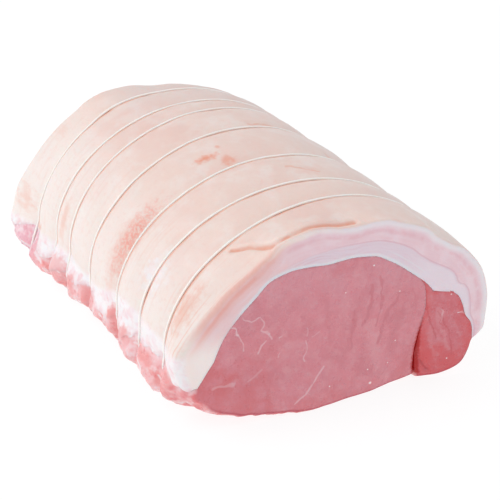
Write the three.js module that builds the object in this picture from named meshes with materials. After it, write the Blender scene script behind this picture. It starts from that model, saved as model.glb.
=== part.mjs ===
// A boneless rolled pork loin joint: a loin eye and a side muscle under a C-shaped cap of fat and rind,
// tied with seven loops of string. Millimetres. +X runs along the joint to the cut that shows its
// muscles, +Y is to the right as that cut is faced, +Z is up, and the joint rests on Z = 0.
import * as THREE from "three";

// ---- Driving dimensions: millimetres, and degrees round the section from its right side (0) over the
// ---- top (90) to its left side (180). Pairs are [station along the axis, value] or [degrees, value].

// The section, about a centre line where the joint is widest
const WIDEST_HEIGHT = 31.5;
const TOP_RISE = [[-82, 48.8], [-70, 49.7], [-41, 50.1], [0, 50.6], [82, 51]];
const UNDERSIDE_DEPTH = 32.4;
const RIGHT_REACH = [[-82, 62], [-66, 66], [-48, 67.8], [50, 68], [82, 69]];
const LEFT_REACH = [[-82, 68], [-70, 64.8], [-41, 64.2], [-17, 65.4], [15, 66.2], [57, 65.7], [82, 65.4]];
const FULLNESS = { topRight: 2, topLeft: 1.96, underRight: 4.2, underLeft: 2.8 };

// The bare flank of meat under the fat's left lip, which bulges out between the strings
const FLANK_REACH = [
  [-82, 73], [-76, 76], [-72, 76], [-60, 75], [-47, 74.6], [-37, 72.6], [-28, 72.4], [-18, 70.5],
  [3, 70.2], [14, 71.6], [34, 72.4], [55, 73], [66, 71], [76, 68.5], [82, 67],
];
const FLANK_FULLNESS = [[-82, 3], [-62, 3.7], [60, 3.5], [82, 2.8]];
const FLANK_STARTS = 181;
const FLANK_FULL_AT = 195;
const STRING_NOTCH = 3.4;
const NOTCH_HALF_LENGTH = 5;

// The two cuts: how far from the middle, and how far each is skewed off square
const HALF_LENGTH = 82;
const FAR_SKEW = 0.235;
const NEAR_SKEW = 0.166;
const FAR_CORNER_BEND = [[-82, 0.0067], [-73, 0]];
const BEND_STARTS = 30;
const NEAR_EDGE_ROUND = 0.7;
const FAR_EDGE_ROUND = 1.4;

// The rind's bulges between the strings, and how it waves in and out near the edges of the two cuts
const BULGE_PER_GAP = 0.045;
const RIND_BULGE = { from: -14, to: 198, fade: 16 };
const NEAR_EDGE_WAVES = [
  [12, 0.3], [27, -0.6], [34, -2.3], [40, -2.3], [49, -0.1], [60, 0.5], [68, 1.1],
  [76, 0.2], [83, -1], [90, -0.3], [97, 1.2], [105, 2.3], [115, 1.9], [124, -1.3],
  [137, -3.1], [151, -3.6], [163, -1.4], [170, 1], [174, 2.6], [180, 2], [186, 0.3],
];
const FAR_EDGE_WAVES = [
  [88, 0], [96, 1.2], [105, 2.4], [114, 2.7], [123, 1.6], [131, -0.8], [140, -2.4], [152, -4.4],
  [160, -5], [168, -4.2], [176, -2.2], [184, -0.3],
];
const EDGE_LENGTH = 22;

// Fat with its rind: where its edges run and how thick it is round the section
const LEFT_LIP = [
  [-82, 190], [-74, 186], [-66, 184.5], [-60, 189], [-46, 190], [-30, 188],
  [-18, 186.5], [-10, 184.5], [-4, 187.5], [6, 188], [17, 185], [26, 187.5],
  [37, 184.5], [48, 183], [58, 182], [66, 184], [74, 187.5], [82, 188.5],
];
const RIGHT_LIP = [[-82, -9], [-40, -14], [10, -10], [50, -15], [82, -15.6]];
const FAT_THICKNESS = [
  [-16, 4.4], [-13, 5.3], [-7.6, 7.1], [-4, 9.6], [1, 11], [7.8, 13.3], [11.3, 16.2], [12.9, 20.1],
  [15.6, 22.3], [28.6, 22.2], [36, 21.5], [46, 19.7], [56, 17.7], [66, 16], [80, 15.9], [96, 16.6],
  [111, 14.4], [121, 12.7], [131, 12.1], [143, 14.4], [153, 15.1], [166, 14.9], [178, 14.5],
  [185, 10.4], [191, 4.6],
];
const FAT_DRIFT = { size: 0.8, stationsPerRadian: 17, degreesPerRadian: 31, fullWhere: 12 };
const LIP_ROUND = 1.4;
const LIP_GAP_DEGREES = 1.5;
const RIGHT_STEP = { depth: 4, over: 11 }; // how far the side muscle stands back under the right lip
const GAP = 0.4;

// The seam between the two muscles, from its top down, as [height, distance right of the centre line]
const SEAM_TOP = 28.6;
const SEAM = [[0, 38.3], [7, 37.4], [15, 37.3], [22, 37.7], [30, 39], [37, 39.9], [46, 38.9]];
const SEAM_OPENING = [[0, 1], [7, 1.6], [15, 1], [22, 0.5], [29, 0.2], [41, 0.1]];
const SEAM_HEIGHTS = [46, 40, 33, 25, 15, 7];

// The seam opens at the two cuts and is nearly closed this far inside them, where it keeps this share
const SEAM_CLOSES_OVER = 12;
const SEAM_INSIDE = 0.12;

// The strings
const STRING_STATIONS = [-70.3, -53.1, -41.1, -17.1, 14.6, 39.5, 57.5];
const STRING_SKEWS = [0.032, -0.02, -0.06, -0.048, 0.008, 0.075, 0.03];
const STRING_RADIUS = 0.6;
const STRING_SIDES = 5;
const GROOVE_HALF_WIDTH = 2.3;
const GROOVE_DEPTH = { over: 1.9, under: 3 };
const STRING_SINK = { over: 0.75, under: 1.2 };
const UNDER_STARTS = { right: -8, left: 191 };
const UNDER_BLEND = 20;

// How finely each outline is cut into facets
const STATION_SPACING = 8.5;
const OUTER_POINTS = 34;
const INNER_ANGLES = [
  -16, -11, -6, 1, 7.8, 11.3, 12.9, 15.6, 21, 26.4, 30.8, 38, 47, 57, 68, 80, 93, 106, 119, 131, 143, 154,
  166, 178, 185, 191,
];
const INNER_FOLLOWS_LIPS = { right: 8, left: 168, over: 20 };
const SIDE_UNDER_POINTS = 7;
const EYE_UNDER_POINTS = 15;

// ---- Small helpers

const radians = THREE.MathUtils.degToRad;

function smooth(t) {
  const k = THREE.MathUtils.clamp(t, 0, 1);
  return k * k * (3 - 2 * k);
}

// The value at a place, on straight lines between the pairs of a list
function along(pairs, place) {
  const next = pairs.findIndex(([at]) => at > place);
  if (next === 0) return pairs[0][1];
  if (next < 0) return pairs[pairs.length - 1][1];
  const [fromAt, from] = pairs[next - 1];
  const [toAt, to] = pairs[next];
  return THREE.MathUtils.lerp(from, to, (place - fromAt) / (toAt - fromAt));
}

// The distance from the centre to a superellipse of the given half width, half height and fullness
function superRadius(degrees, reach, rise, fullness) {
  const across = Math.abs(Math.cos(radians(degrees))) / reach;
  const upward = Math.abs(Math.sin(radians(degrees))) / rise;
  return (across ** fullness + upward ** fullness) ** (-1 / fullness);
}

// ---- The joint's outline: the distance from the centre line at each station and angle

// How far the outside stands out between two strings, and how much of a string's notch is felt
function bulge(station) {
  const stops = [-HALF_LENGTH, ...STRING_STATIONS, HALF_LENGTH];
  const next = stops.findIndex((stop) => stop > station);
  if (next < 1) return 0;
  const gap = stops[next] - stops[next - 1];
  return BULGE_PER_GAP * gap * Math.sin((Math.PI * (station - stops[next - 1])) / gap);
}

function notch(station) {
  const nearest = Math.min(...STRING_STATIONS.map((at) => Math.abs(at - station)));
  return 1 - smooth(nearest / NOTCH_HALF_LENGTH);
}

// The smooth section. Angles run from -90 at the underside, over the top, to 270 at the underside again.
function bodyRadius(station, degrees, leftReach, leftFullness) {
  const rise = along(TOP_RISE, station);
  const right = along(RIGHT_REACH, station);
  if (degrees < 0) return superRadius(degrees, right, UNDERSIDE_DEPTH, FULLNESS.underRight);
  if (degrees < 90) return superRadius(degrees, right, rise, FULLNESS.topRight);
  if (degrees <= 180) return superRadius(degrees, along(LEFT_REACH, station), rise, FULLNESS.topLeft);
  return superRadius(degrees, leftReach, UNDERSIDE_DEPTH, leftFullness);
}

// The outside, with its bulges between strings, the flank's notches and the rounded edges of the cuts
function outerRadius(station, degrees) {
  const flank = along(FLANK_REACH, station) - STRING_NOTCH * notch(station);
  const flankShare = smooth((degrees - FLANK_STARTS) / (FLANK_FULL_AT - FLANK_STARTS));
  const leftReach = THREE.MathUtils.lerp(along(LEFT_REACH, station), flank, flankShare);
  let radius = bodyRadius(station, degrees, leftReach, along(FLANK_FULLNESS, station));
  const nearEnd = smooth((station - HALF_LENGTH + EDGE_LENGTH) / EDGE_LENGTH);
  const farEnd = smooth((EDGE_LENGTH - HALF_LENGTH - station) / EDGE_LENGTH);
  const waves = nearEnd * along(NEAR_EDGE_WAVES, degrees) + farEnd * along(FAR_EDGE_WAVES, degrees);
  const overLeft = smooth((RIND_BULGE.to - degrees) / RIND_BULGE.fade);
  const overRight = smooth((degrees - RIND_BULGE.from) / RIND_BULGE.fade);
  radius += overLeft * overRight * (bulge(station) + waves);
  const farRound = FAR_EDGE_ROUND * (1 - smooth((station + HALF_LENGTH) / (2 * FAR_EDGE_ROUND)));
  const nearRound = NEAR_EDGE_ROUND * (1 - smooth((HALF_LENGTH - station) / (2 * NEAR_EDGE_ROUND)));
  return radius - farRound - nearRound;
}

// The slant of each section, the same across a string's whole groove
const SKEW = [
  [-HALF_LENGTH, FAR_SKEW],
  ...STRING_STATIONS.flatMap((at, i) => [
    [at - GROOVE_HALF_WIDTH, STRING_SKEWS[i]],
    [at + GROOVE_HALF_WIDTH, STRING_SKEWS[i]],
  ]),
  [HALF_LENGTH, NEAR_SKEW],
];

// The place of a point of the section: the underside is flat, and the cuts are skewed
function place(station, degrees, radius) {
  const y = radius * Math.cos(radians(degrees));
  const z = Math.max(0, WIDEST_HEIGHT + radius * Math.sin(radians(degrees)));
  return skewed(station, y, z);
}

function skewed(station, y, z) {
  const bend = along(FAR_CORNER_BEND, station) * Math.max(0, y - BEND_STARTS) ** 2;
  return new THREE.Vector3(station + along(SKEW, station) * y - bend, y, z);
}

// How far the flat underside cuts the outline short at this angle
function flattened(degrees, radius) {
  const down = -Math.sin(radians(degrees));
  return down > 0 ? Math.min(radius, WIDEST_HEIGHT / down) : radius;
}

function underside(degrees) {
  const right = smooth((UNDER_STARTS.right - degrees) / UNDER_BLEND);
  const left = smooth((degrees - UNDER_STARTS.left) / UNDER_BLEND);
  return Math.max(right, left);
}

// How deep a string's groove is
function groove(station, degrees) {
  const nearest = Math.min(...STRING_STATIONS.map((at) => Math.abs(at - station)));
  const share = Math.max(0, 1 - nearest / GROOVE_HALF_WIDTH);
  return share * THREE.MathUtils.lerp(GROOVE_DEPTH.over, GROOVE_DEPTH.under, underside(degrees));
}

function groovedRadius(station, degrees) {
  return flattened(degrees, outerRadius(station, degrees)) - groove(station, degrees);
}

// The surface between fat and muscles
function innerRadius(station, degrees) {
  const thickness = along(FAT_THICKNESS, degrees);
  const turn = station / FAT_DRIFT.stationsPerRadian + degrees / FAT_DRIFT.degreesPerRadian;
  const drift = FAT_DRIFT.size * Math.sin(turn) * Math.min(1, thickness / FAT_DRIFT.fullWhere);
  return bodyRadius(station, degrees, along(LEFT_REACH, station), FULLNESS.underLeft) - thickness + drift;
}

// ---- Stations along the joint: three at each string, and evenly spread ones between

function stationList() {
  const stops = [-HALF_LENGTH, ...STRING_STATIONS, HALF_LENGTH];
  const list = [-HALF_LENGTH, -HALF_LENGTH + FAR_EDGE_ROUND];
  stops.slice(1).forEach((stop, i) => {
    const from = stops[i] + (i === 0 ? 2 * FAR_EDGE_ROUND : GROOVE_HALF_WIDTH);
    const to = stop - (stop === HALF_LENGTH ? 2 * NEAR_EDGE_ROUND : GROOVE_HALF_WIDTH);
    const steps = Math.max(1, Math.round((to - from) / STATION_SPACING));
    for (let k = 0; k <= steps; k++) list.push(THREE.MathUtils.lerp(from, to, k / steps));
    list.push(stop);
  });
  return list;
}

const STATIONS = stationList();

// ---- Outlines round the section

const INNER_RANGE = INNER_ANGLES[INNER_ANGLES.length - 1] - INNER_ANGLES[0];
const SEAM_INDEX = INNER_ANGLES.findIndex((angle) => angle > SEAM_TOP);

// The angle at a share of the way from this station's right lip to its left one
function lipAngle(station, share) {
  return THREE.MathUtils.lerp(along(RIGHT_LIP, station), along(LEFT_LIP, station), share);
}

// The listed angles, moved near the lips so that they end there
function interfaceAngles(station) {
  const { right, left, over } = INNER_FOLLOWS_LIPS;
  return INNER_ANGLES.map((angle) => {
    const share = (angle - INNER_ANGLES[0]) / INNER_RANGE;
    const atLip = Math.max(smooth((right - angle) / over), smooth((angle - left) / over));
    return THREE.MathUtils.lerp(angle, lipAngle(station, share), atLip);
  });
}

function outerAngles(station) {
  return Array.from({ length: OUTER_POINTS }, (_, i) => lipAngle(station, i / (OUTER_POINTS - 1)));
}

function evenly(from, to, count) {
  return Array.from({ length: count }, (_, i) => THREE.MathUtils.lerp(from, to, i / (count - 1)));
}

// How far right of the centre line one wall of the seam stands; the seam follows the joint's right side
function seamReach(station, height, side) {
  const shift = along(RIGHT_REACH, station) - along(RIGHT_REACH, HALF_LENGTH);
  const inside = smooth((HALF_LENGTH - Math.abs(station)) / SEAM_CLOSES_OVER);
  const opening = along(SEAM_OPENING, height) * THREE.MathUtils.lerp(1, SEAM_INSIDE, inside);
  return along(SEAM, height) + shift + side * (GAP + opening) * 0.5;
}

function seamWall(station, side) {
  return SEAM_HEIGHTS.map((height) => skewed(station, seamReach(station, height, side), height));
}

// The angle at which one wall of the seam reaches the underside
function seamFoot(station, side) {
  return THREE.MathUtils.radToDeg(Math.atan2(-WIDEST_HEIGHT, seamReach(station, 0, side)));
}

// The wall's lowest point, which a string's groove lifts straight up
function footPoint(station, side) {
  const foot = seamFoot(station, side);
  return skewed(station, seamReach(station, 0, side), -groove(station, foot) * Math.sin(radians(foot)));
}

function fatRing(station) {
  const angles = outerAngles(station);
  const outer = angles.map((degrees, i) => {
    const lip = i === 0 || i === angles.length - 1 ? LIP_ROUND : 0;
    return place(station, degrees, groovedRadius(station, degrees) - lip);
  });
  const inner = interfaceAngles(station).map((degrees) =>
    place(station, degrees, innerRadius(station, degrees) + GAP / 2),
  );
  return [...outer, ...inner.reverse()];
}

function muscleInterface(station, from, to) {
  return interfaceAngles(station)
    .slice(from, to)
    .map((degrees) => place(station, degrees, innerRadius(station, degrees) - GAP / 2));
}

// The bare undersides of the two muscles, from the fat's lips to the seam
function eyeUnderAngles(station) {
  return evenly(along(LEFT_LIP, station) + LIP_GAP_DEGREES, 360 + seamFoot(station, -1), EYE_UNDER_POINTS);
}

function sideUnderAngles(station) {
  return evenly(seamFoot(station, 1), along(RIGHT_LIP, station) - LIP_GAP_DEGREES, SIDE_UNDER_POINTS);
}

function bareOutline(station, angles) {
  return angles.map((degrees) => place(station, degrees, groovedRadius(station, degrees)));
}

function sideOutline(station) {
  const lip = along(RIGHT_LIP, station);
  return sideUnderAngles(station)
    .slice(1)
    .map((degrees) => {
      const step = RIGHT_STEP.depth * (1 - smooth((lip - degrees) / RIGHT_STEP.over));
      return place(station, degrees, groovedRadius(station, degrees) - step);
    });
}

function eyeRing(station) {
  return [
    ...muscleInterface(station, SEAM_INDEX, INNER_ANGLES.length),
    ...bareOutline(station, eyeUnderAngles(station).slice(0, -1)),
    footPoint(station, -1),
    ...seamWall(station, -1).reverse(),
  ];
}

function sideRing(station) {
  return [
    ...muscleInterface(station, 0, SEAM_INDEX),
    ...seamWall(station, 1),
    footPoint(station, 1),
    ...sideOutline(station),
  ];
}

// ---- Skins

// A closed mesh through rings of equal length: capped at both ends, or joined end to end
function loft(rings, joined) {
  const count = rings[0].length;
  const positions = rings.flatMap((ring) => ring.flatMap((point) => point.toArray()));
  const index = [];
  const spans = joined ? rings.length : rings.length - 1;
  for (let s = 0; s < spans; s++)
    for (let i = 0; i < count; i++) {
      const a = s * count + i;
      const b = s * count + ((i + 1) % count);
      const c = ((s + 1) % rings.length) * count + i;
      const d = ((s + 1) % rings.length) * count + ((i + 1) % count);
      index.push(a, c, b, b, c, d);
    }
  if (!joined) {
    const last = (rings.length - 1) * count;
    for (const [a, b, c] of capTriangles(rings[0])) index.push(a, b, c);
    for (const [a, b, c] of capTriangles(rings[rings.length - 1])) index.push(last + a, last + c, last + b);
  }
  const geometry = new THREE.BufferGeometry();
  geometry.setAttribute("position", new THREE.Float32BufferAttribute(positions, 3));
  geometry.setIndex(facingOut(positions, index));
  geometry.computeVertexNormals();
  return geometry;
}

// Triangles that fill a ring, each wound the way the ring runs
function capTriangles(ring) {
  const flat = ring.map((point) => new THREE.Vector2(point.y, point.z));
  const ringTurn = THREE.ShapeUtils.area(flat);
  return THREE.ShapeUtils.triangulateShape(flat, []).map(([a, b, c]) => {
    const turn = THREE.ShapeUtils.area([flat[a], flat[b], flat[c]]);
    return turn * ringTurn > 0 ? [a, b, c] : [a, c, b];
  });
}

// Turns every face round if together they enclose a negative volume
function facingOut(positions, index) {
  const corner = (i) => new THREE.Vector3().fromArray(positions, index[i] * 3);
  let volume = 0;
  for (let i = 0; i < index.length; i += 3) volume += corner(i).dot(corner(i + 1).cross(corner(i + 2)));
  return volume > 0 ? index : index.toReversed();
}

// ---- Strings: a loop in its groove, with its facets beside those of the meat

function stringGeometry(station) {
  const angles = [...sideUnderAngles(station), ...outerAngles(station), ...eyeUnderAngles(station)];
  const path = angles.map((degrees) => {
    const sink = THREE.MathUtils.lerp(STRING_SINK.over, STRING_SINK.under, underside(degrees));
    return place(station, degrees, flattened(degrees, outerRadius(station, degrees)) - sink);
  });
  const lengthwise = new THREE.Vector3(1, 0, 0);
  const rings = path.map((centre, i) => {
    const before = path[(i + path.length - 1) % path.length];
    const after = path[(i + 1) % path.length];
    const onward = after.clone().sub(before).normalize();
    const outward = onward.clone().cross(lengthwise).normalize();
    const sideways = outward.clone().cross(onward);
    return evenly(0, 2 * Math.PI, STRING_SIDES + 1)
      .slice(0, STRING_SIDES)
      .map((turn) =>
        centre
          .clone()
          .addScaledVector(outward, STRING_RADIUS * Math.cos(turn))
          .addScaledVector(sideways, STRING_RADIUS * Math.sin(turn)),
      );
  });
  return loft(rings, true);
}

// ---- The joint

function material(color, roughness) {
  return new THREE.MeshStandardMaterial({ color, roughness, metalness: 0 });
}

const joint = new THREE.Group();

function addPiece(name, geometry, finish) {
  const mesh = new THREE.Mesh(geometry, finish);
  mesh.name = name;
  joint.add(mesh);
}

const fatFinish = material("#ecd6cd", 0.5);
const eyeFinish = material("#c8808c", 0.4);
const sideFinish = material("#c26f7b", 0.4);
const stringFinish = material("#f3e9dc", 0.9);

addPiece("fat_cap", loft(STATIONS.map(fatRing), false), fatFinish);
addPiece("loin_eye", loft(STATIONS.map(eyeRing), false), eyeFinish);
addPiece("side_muscle", loft(STATIONS.map(sideRing), false), sideFinish);
STRING_STATIONS.forEach((station, i) => addPiece(`string_${i + 1}`, stringGeometry(station), stringFinish));

// The origin is under the middle of the joint
const bounds = new THREE.Box3().setFromObject(joint);
const middle = bounds.getCenter(new THREE.Vector3());
joint.position.set(-middle.x, -middle.y, -bounds.min.z);

export default joint;
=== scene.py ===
import math
from itertools import product

import bpy
import numpy as np
from mathutils import Matrix, Vector
from mathutils.geometry import delaunay_2d_cdt


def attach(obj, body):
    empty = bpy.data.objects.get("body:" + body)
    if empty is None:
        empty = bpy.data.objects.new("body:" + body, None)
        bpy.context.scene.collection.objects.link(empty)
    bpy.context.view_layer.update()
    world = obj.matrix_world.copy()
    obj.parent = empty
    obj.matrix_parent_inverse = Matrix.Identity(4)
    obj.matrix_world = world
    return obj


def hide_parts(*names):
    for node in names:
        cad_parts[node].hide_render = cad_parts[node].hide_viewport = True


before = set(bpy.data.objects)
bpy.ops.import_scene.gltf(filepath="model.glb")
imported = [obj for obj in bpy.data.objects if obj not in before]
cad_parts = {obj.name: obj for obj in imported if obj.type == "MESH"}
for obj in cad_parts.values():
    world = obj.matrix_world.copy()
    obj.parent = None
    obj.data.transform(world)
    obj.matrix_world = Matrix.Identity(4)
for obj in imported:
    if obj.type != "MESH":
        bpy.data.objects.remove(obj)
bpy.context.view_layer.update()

MM = 0.001
AXIS_PLACE = np.array([2.3761, 0.711, 0.0])  # where the joint's axis lies in the frame

# ---- The outline of the section at each station

WIDEST_HEIGHT = 31.5
UNDERSIDE_DEPTH = 32.4
TOP_RISE = [(-82, 48.8), (-70, 49.7), (-41, 50.1), (0, 50.6), (82, 51)]
RIGHT_REACH = [(-82, 62), (-66, 66), (-48, 67.8), (50, 68), (82, 69)]
LEFT_REACH = [(-82, 68), (-70, 64.8), (-41, 64.2), (-17, 65.4), (15, 66.2), (57, 65.7), (82, 65.4)]
FULLNESS = {"top_right": 2, "top_left": 1.96, "under_right": 4.2, "under_left": 2.8}

FLANK_REACH = [
    (-82, 73), (-76, 76), (-72, 76), (-60, 75), (-47, 74.6), (-37, 72.6), (-28, 72.4), (-18, 70.5),
    (3, 70.2), (14, 71.6), (34, 72.4), (55, 73), (66, 71), (76, 68.5), (82, 67),
]
FLANK_FULLNESS = [(-82, 3), (-62, 3.7), (60, 3.5), (82, 2.8)]
FLANK_STARTS, FLANK_FULL_AT = 181, 195
STRING_NOTCH = 3.4
NOTCH_HALF_LENGTH = 5

HALF_LENGTH = 82
FAR_SKEW, NEAR_SKEW = 0.235, 0.166
FAR_CORNER_BEND = [(-82, 0.0067), (-73, 0)]
BEND_STARTS = 30
NEAR_EDGE_ROUND = [
    (-16, 1.0), (60, 1.1), (120, 1.5), (150, 2.4), (170, 4.6), (186, 5.4), (200, 3), (300, 1.4),
]
FAR_EDGE_ROUND = 2.4
CORNER_FULLNESS = 0.8

BULGE_PER_GAP = 0.045
RIND_BULGE = {"from": -14, "to": 198, "fade": 16}
EDGE_LENGTH = 22  # how far from a cut its edge waves in and out
NEAR_EDGE_WAVES = [
    (12, 0.3), (27, -0.6), (34, -2.3), (40, -2.3), (49, -0.1), (60, 0.5), (68, 1.1), (76, 0.2),
    (83, -1), (90, -0.3), (97, 1.2), (105, 2.3), (115, 1.9), (124, -1.3), (137, -3.1), (151, -3.6),
    (163, -1.4), (170, 1), (174, 2.6), (180, 2), (186, 0.3),
]
FAR_EDGE_WAVES = [
    (88, 0), (96, 1.2), (105, 2.4), (114, 2.7), (123, 1.6), (131, -0.8), (140, -2.4), (152, -4.4),
    (160, -5), (168, -4.2), (176, -2.2), (184, -0.3),
]

# ---- The fat, the seam between the muscles, and the strings

LEFT_LIP = [
    (-82, 190), (-74, 186), (-66, 184.5), (-60, 189), (-46, 190), (-30, 188), (-18, 186.5),
    (-10, 184.5), (-4, 187.5), (6, 188), (17, 185), (26, 187.5), (37, 184.5), (48, 183),
    (58, 182), (66, 184), (74, 187.5), (82, 188.5),
]
RIGHT_LIP = [(-82, -9), (-40, -14), (10, -10), (50, -15), (82, -15.6)]
FAT_THICKNESS = [
    (-16, 4.4), (-13, 5.3), (-7.6, 7.1), (-4, 9.6), (1, 11), (7.8, 13.3), (11.3, 16.2), (12.9, 20.1),
    (15.6, 22.3), (28.6, 22.2), (36, 21.5), (46, 19.7), (56, 17.7), (66, 16), (80, 15.9), (96, 16.6),
    (111, 14.4), (121, 12.7), (131, 12.1), (143, 14.4), (153, 15.1), (166, 14.3), (177, 12.7),
    (185, 8.4), (191, 4.2),
]
FAT_DRIFT = {"size": 0.8, "stations_per_radian": 17, "degrees_per_radian": 31, "full_where": 12}

SEAM_TOP = 28.6
EYE_SIDE_OF_SEAM = [
    (0, 37.6), (3, 37), (7, 36.4), (15, 36.6), (22, 37.2), (30, 38.7), (37, 39.8), (46, 38.9), (51.3, 36.7),
]
SEAM_OPENING = [(0, 0.25), (5, 0.35), (9, 0.5), (14, 0.45), (18, 0.35), (22, 0.2), (28, 0.04), (34, -0.08)]
SEAM_CLOSES_OVER = 12
SEAM_SHUTS = (24, 34)
RAGGED = {"size": 1.2, "length": 3.5}
SEAM_INSIDE = 0.12
SEAM_EDGE_ROUND = (0.5, 1.9)  # the eye's edge at a cut, and the side muscle's
SEAM_EDGE_TOP, SEAM_EDGE_FADE = 30, 20

STRING_STATIONS = [-70.3, -53.1, -41.1, -17.1, 14.6, 39.5, 57.5]
STRING_SKEWS = [0.032, -0.02, -0.06, -0.048, 0.008, 0.075, 0.03]
STRING_RADIUS = 0.6
SKEW_HELD = 2.3
UNDER_STARTS = {"right": -8, "left": 191}
UNDER_BLEND = 20

SEEDS = {"rind": 3, "cuts": 11, "lumps": 23, "wander": 31, "lip": 41, "sink": 57}
LAYERED_REACH = 1.4  # about how far noise with finer noise on it reaches


def smooth(t):
    k = np.clip(t, 0, 1)
    return k * k * (3 - 2 * k)


def curve(pairs, place):
    """The value at a place on a smooth line through the pairs, which never swings past them."""
    at, value = np.array(pairs, float).T
    step = np.diff(at)
    slope = np.diff(value) / step
    both = slope[1:] * slope[:-1]
    rise = np.where(np.abs(slope[1:] + slope[:-1]) > 1e-9, slope[1:] + slope[:-1], 1)
    lean = np.concatenate([[0], np.where(both > 0, 2 * both / rise, 0), [0]])
    place = np.clip(place, at[0], at[-1])
    i = np.clip(np.searchsorted(at, place, side="right") - 1, 0, len(step) - 1)
    t = (place - at[i]) / step[i]
    start = value[i] * (1 + 2 * t) * (1 - t) ** 2 + lean[i] * step[i] * t * (1 - t) ** 2
    return start + value[i + 1] * t * t * (3 - 2 * t) + lean[i + 1] * step[i] * t * t * (t - 1)


def noise(x, y, z, seed):
    """Smooth random values from -1 to 1 that change over a length of about 1."""
    x, y, z = np.broadcast_arrays(np.asarray(x, float), y, z)
    corner = [np.floor(c).astype(np.int64) for c in (x, y, z)]
    share = [smooth(c - np.floor(c)) for c in (x, y, z)]
    total = np.zeros(x.shape)
    for step in product((0, 1), repeat=3):
        mixed = np.full(x.shape, seed * 40503 + 977, np.int64)
        weight = np.ones(x.shape)
        for c, s, k, prime in zip(corner, share, step, (73856093, 19349663, 83492791)):
            mixed = (mixed ^ ((c + k) * prime)) & 0xFFFFFFFF
            mixed = ((mixed ^ (mixed >> 15)) * 0x2C1B3C6D) & 0xFFFFFFFF
            weight = weight * (s if k else 1 - s)
        mixed = ((mixed ^ (mixed >> 13)) * 0x297A2D39) & 0xFFFFFFFF
        total += weight * (mixed / 2**31 - 1)
    return total


def rough_noise(x, y, z, seed, layers=3):
    """Noise with finer noise on it, each layer half as large and half as strong."""
    parts = [noise(x * 2**k, y * 2**k, z * 2**k, seed + k) / 2**k for k in range(layers)]
    return sum(parts) / LAYERED_REACH


def super_radius(degrees, reach, rise, fullness):
    across = np.abs(np.cos(np.radians(degrees))) / reach
    upward = np.abs(np.sin(np.radians(degrees))) / rise
    return (across**fullness + upward**fullness) ** (-1 / fullness)


def body_radius(station, degrees, left_reach, left_fullness):
    """The smooth section, before strings and cuts shape it."""
    rise = curve(TOP_RISE, station)
    right = curve(RIGHT_REACH, station)
    quarters = [
        super_radius(degrees, right, UNDERSIDE_DEPTH, FULLNESS["under_right"]),
        super_radius(degrees, right, rise, FULLNESS["top_right"]),
        super_radius(degrees, curve(LEFT_REACH, station), rise, FULLNESS["top_left"]),
    ]
    last = super_radius(degrees, left_reach, UNDERSIDE_DEPTH, left_fullness)
    return np.select([degrees < 0, degrees < 90, degrees <= 180], quarters, last)


def to_string(station):
    """The distance to the nearest string, less than 0 on its far side."""
    apart = station[..., None] - np.array(STRING_STATIONS)
    nearest = np.abs(apart).argmin(-1)
    return np.take_along_axis(apart, nearest[..., None], -1)[..., 0]


def bulge(station):
    """How far the outside stands out between two strings."""
    stops = np.array([-HALF_LENGTH, *STRING_STATIONS, HALF_LENGTH])
    i = np.clip(np.searchsorted(stops, station, side="right") - 1, 0, len(stops) - 2)
    gap = stops[i + 1] - stops[i]
    return BULGE_PER_GAP * gap * np.sin(np.pi * np.clip((station - stops[i]) / gap, 0, 1))


def near_cut(station, length):
    """1 at the near cut, and 0 from a length behind it on."""
    return smooth((station - HALF_LENGTH + length) / length)


def far_cut(station, length):
    return smooth((length - HALF_LENGTH - station) / length)


def corner_drop(to_end, size):
    """How far a rounded edge falls short of the outline at a distance from the cut."""
    t = np.clip(1 - to_end / size, 0, 1)
    return size * (1 - np.sqrt(1 - t * t)) * CORNER_FULLNESS


def outline(station, degrees):
    """The outside: the section with its bulges, its notched flank and its rounded cut edges."""
    station, degrees = np.broadcast_arrays(np.asarray(station, float), np.asarray(degrees, float))
    notch = 1 - smooth(np.abs(to_string(station)) / NOTCH_HALF_LENGTH)
    flank = curve(FLANK_REACH, station) - STRING_NOTCH * notch
    share = smooth((degrees - FLANK_STARTS) / (FLANK_FULL_AT - FLANK_STARTS))
    left_reach = curve(LEFT_REACH, station) * (1 - share) + flank * share
    radius = body_radius(station, degrees, left_reach, curve(FLANK_FULLNESS, station))
    waves = near_cut(station, EDGE_LENGTH) * curve(NEAR_EDGE_WAVES, degrees)
    waves = waves + far_cut(station, EDGE_LENGTH) * curve(FAR_EDGE_WAVES, degrees)
    over = smooth((RIND_BULGE["to"] - degrees) / RIND_BULGE["fade"])
    over = over * smooth((degrees - RIND_BULGE["from"]) / RIND_BULGE["fade"])
    radius = radius + over * (bulge(station) + waves)
    round_near = corner_drop(HALF_LENGTH - station, curve(NEAR_EDGE_ROUND, degrees))
    return radius - round_near - corner_drop(station + HALF_LENGTH, FAR_EDGE_ROUND)


def flattened(degrees, radius):
    """The outline cut short by the flat underside."""
    down = -np.sin(np.radians(degrees))
    return np.where(down > 0, np.minimum(radius, WIDEST_HEIGHT / np.maximum(down, 1e-6)), radius)


def underside(degrees):
    right = smooth((UNDER_STARTS["right"] - degrees) / UNDER_BLEND)
    return np.maximum(right, smooth((degrees - UNDER_STARTS["left"]) / UNDER_BLEND))


def inner_radius(station, degrees):
    """The surface between the fat and the muscles."""
    thickness = curve(FAT_THICKNESS, degrees)
    turn = station / FAT_DRIFT["stations_per_radian"] + degrees / FAT_DRIFT["degrees_per_radian"]
    drift = FAT_DRIFT["size"] * np.sin(turn) * np.minimum(1, thickness / FAT_DRIFT["full_where"])
    body = body_radius(station, degrees, curve(LEFT_REACH, station), FULLNESS["under_left"])
    return body - thickness + drift


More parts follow.
